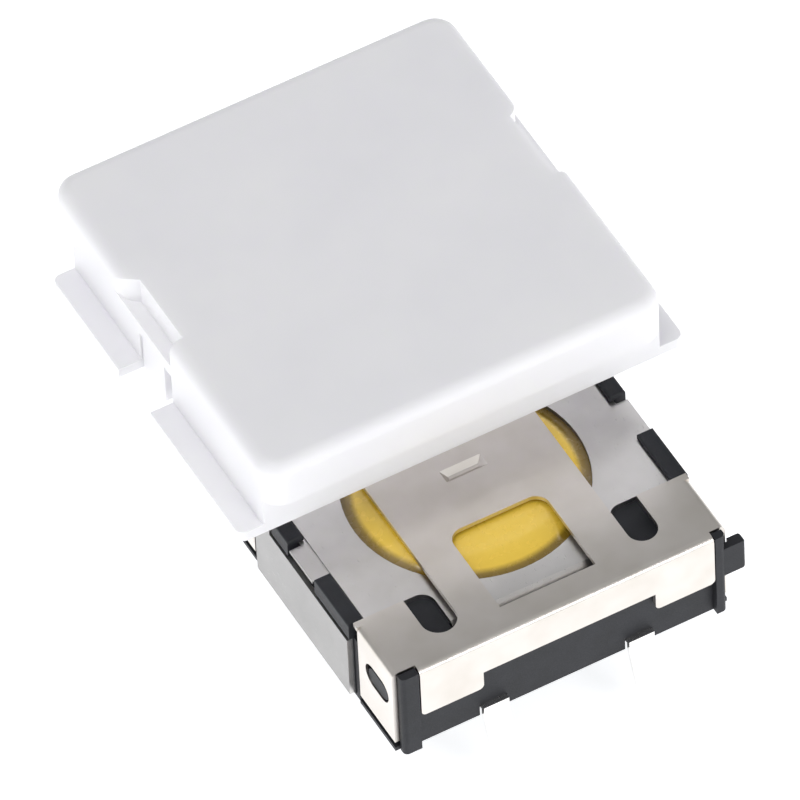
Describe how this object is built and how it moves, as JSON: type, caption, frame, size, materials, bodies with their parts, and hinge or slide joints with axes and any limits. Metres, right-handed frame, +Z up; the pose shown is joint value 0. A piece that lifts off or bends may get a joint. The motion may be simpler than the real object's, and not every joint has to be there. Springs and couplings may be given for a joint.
{
  "type": "tactile key switch",
  "caption": "Low-profile square key switch: black base, folded steel push plate over a film-sealed snap dome, blade terminals, and its white square keycap lifted off.",
  "frame": {"origin": "centre of the base's underside, which is the plane of the circuit board", "axes": "+Z up from the board through the push plate, +X to the side with the locating lug, +Y to the rear, towards the lifted keycap"},
  "size_m": [0.0194, 0.0249, 0.0138],
  "materials": {
    "black_nylon": "moulded glass-filled nylon, fine matt texture",
    "satin_stainless": "satin cold-rolled stainless sheet",
    "amber_film": "glossy amber polyimide film",
    "dome_steel": "bright spring stainless",
    "silver_plate": "bright silver plate over brass",
    "white_cap": "milky white moulded plastic, satin"
  },
  "bodies": {
    "housing": {"base": "black_nylon", "cover_plate": "satin_stainless", "seal_film": "amber_film", "snap_dome": "dome_steel", "outer_contact": "silver_plate", "centre_contact": "silver_plate", "keycap": "white_cap"},
    "plate": {"push_plate": "satin_stainless"}
  },
  "joints": [
    {"name": "plate_press", "type": "slide", "parent": "housing", "child": "plate", "axis": [0, 0, -1], "range_m": [0, 0.0002], "stiffness_N_per_m": 8000, "deforming": ["seal_film", "snap_dome"]}
  ]
}
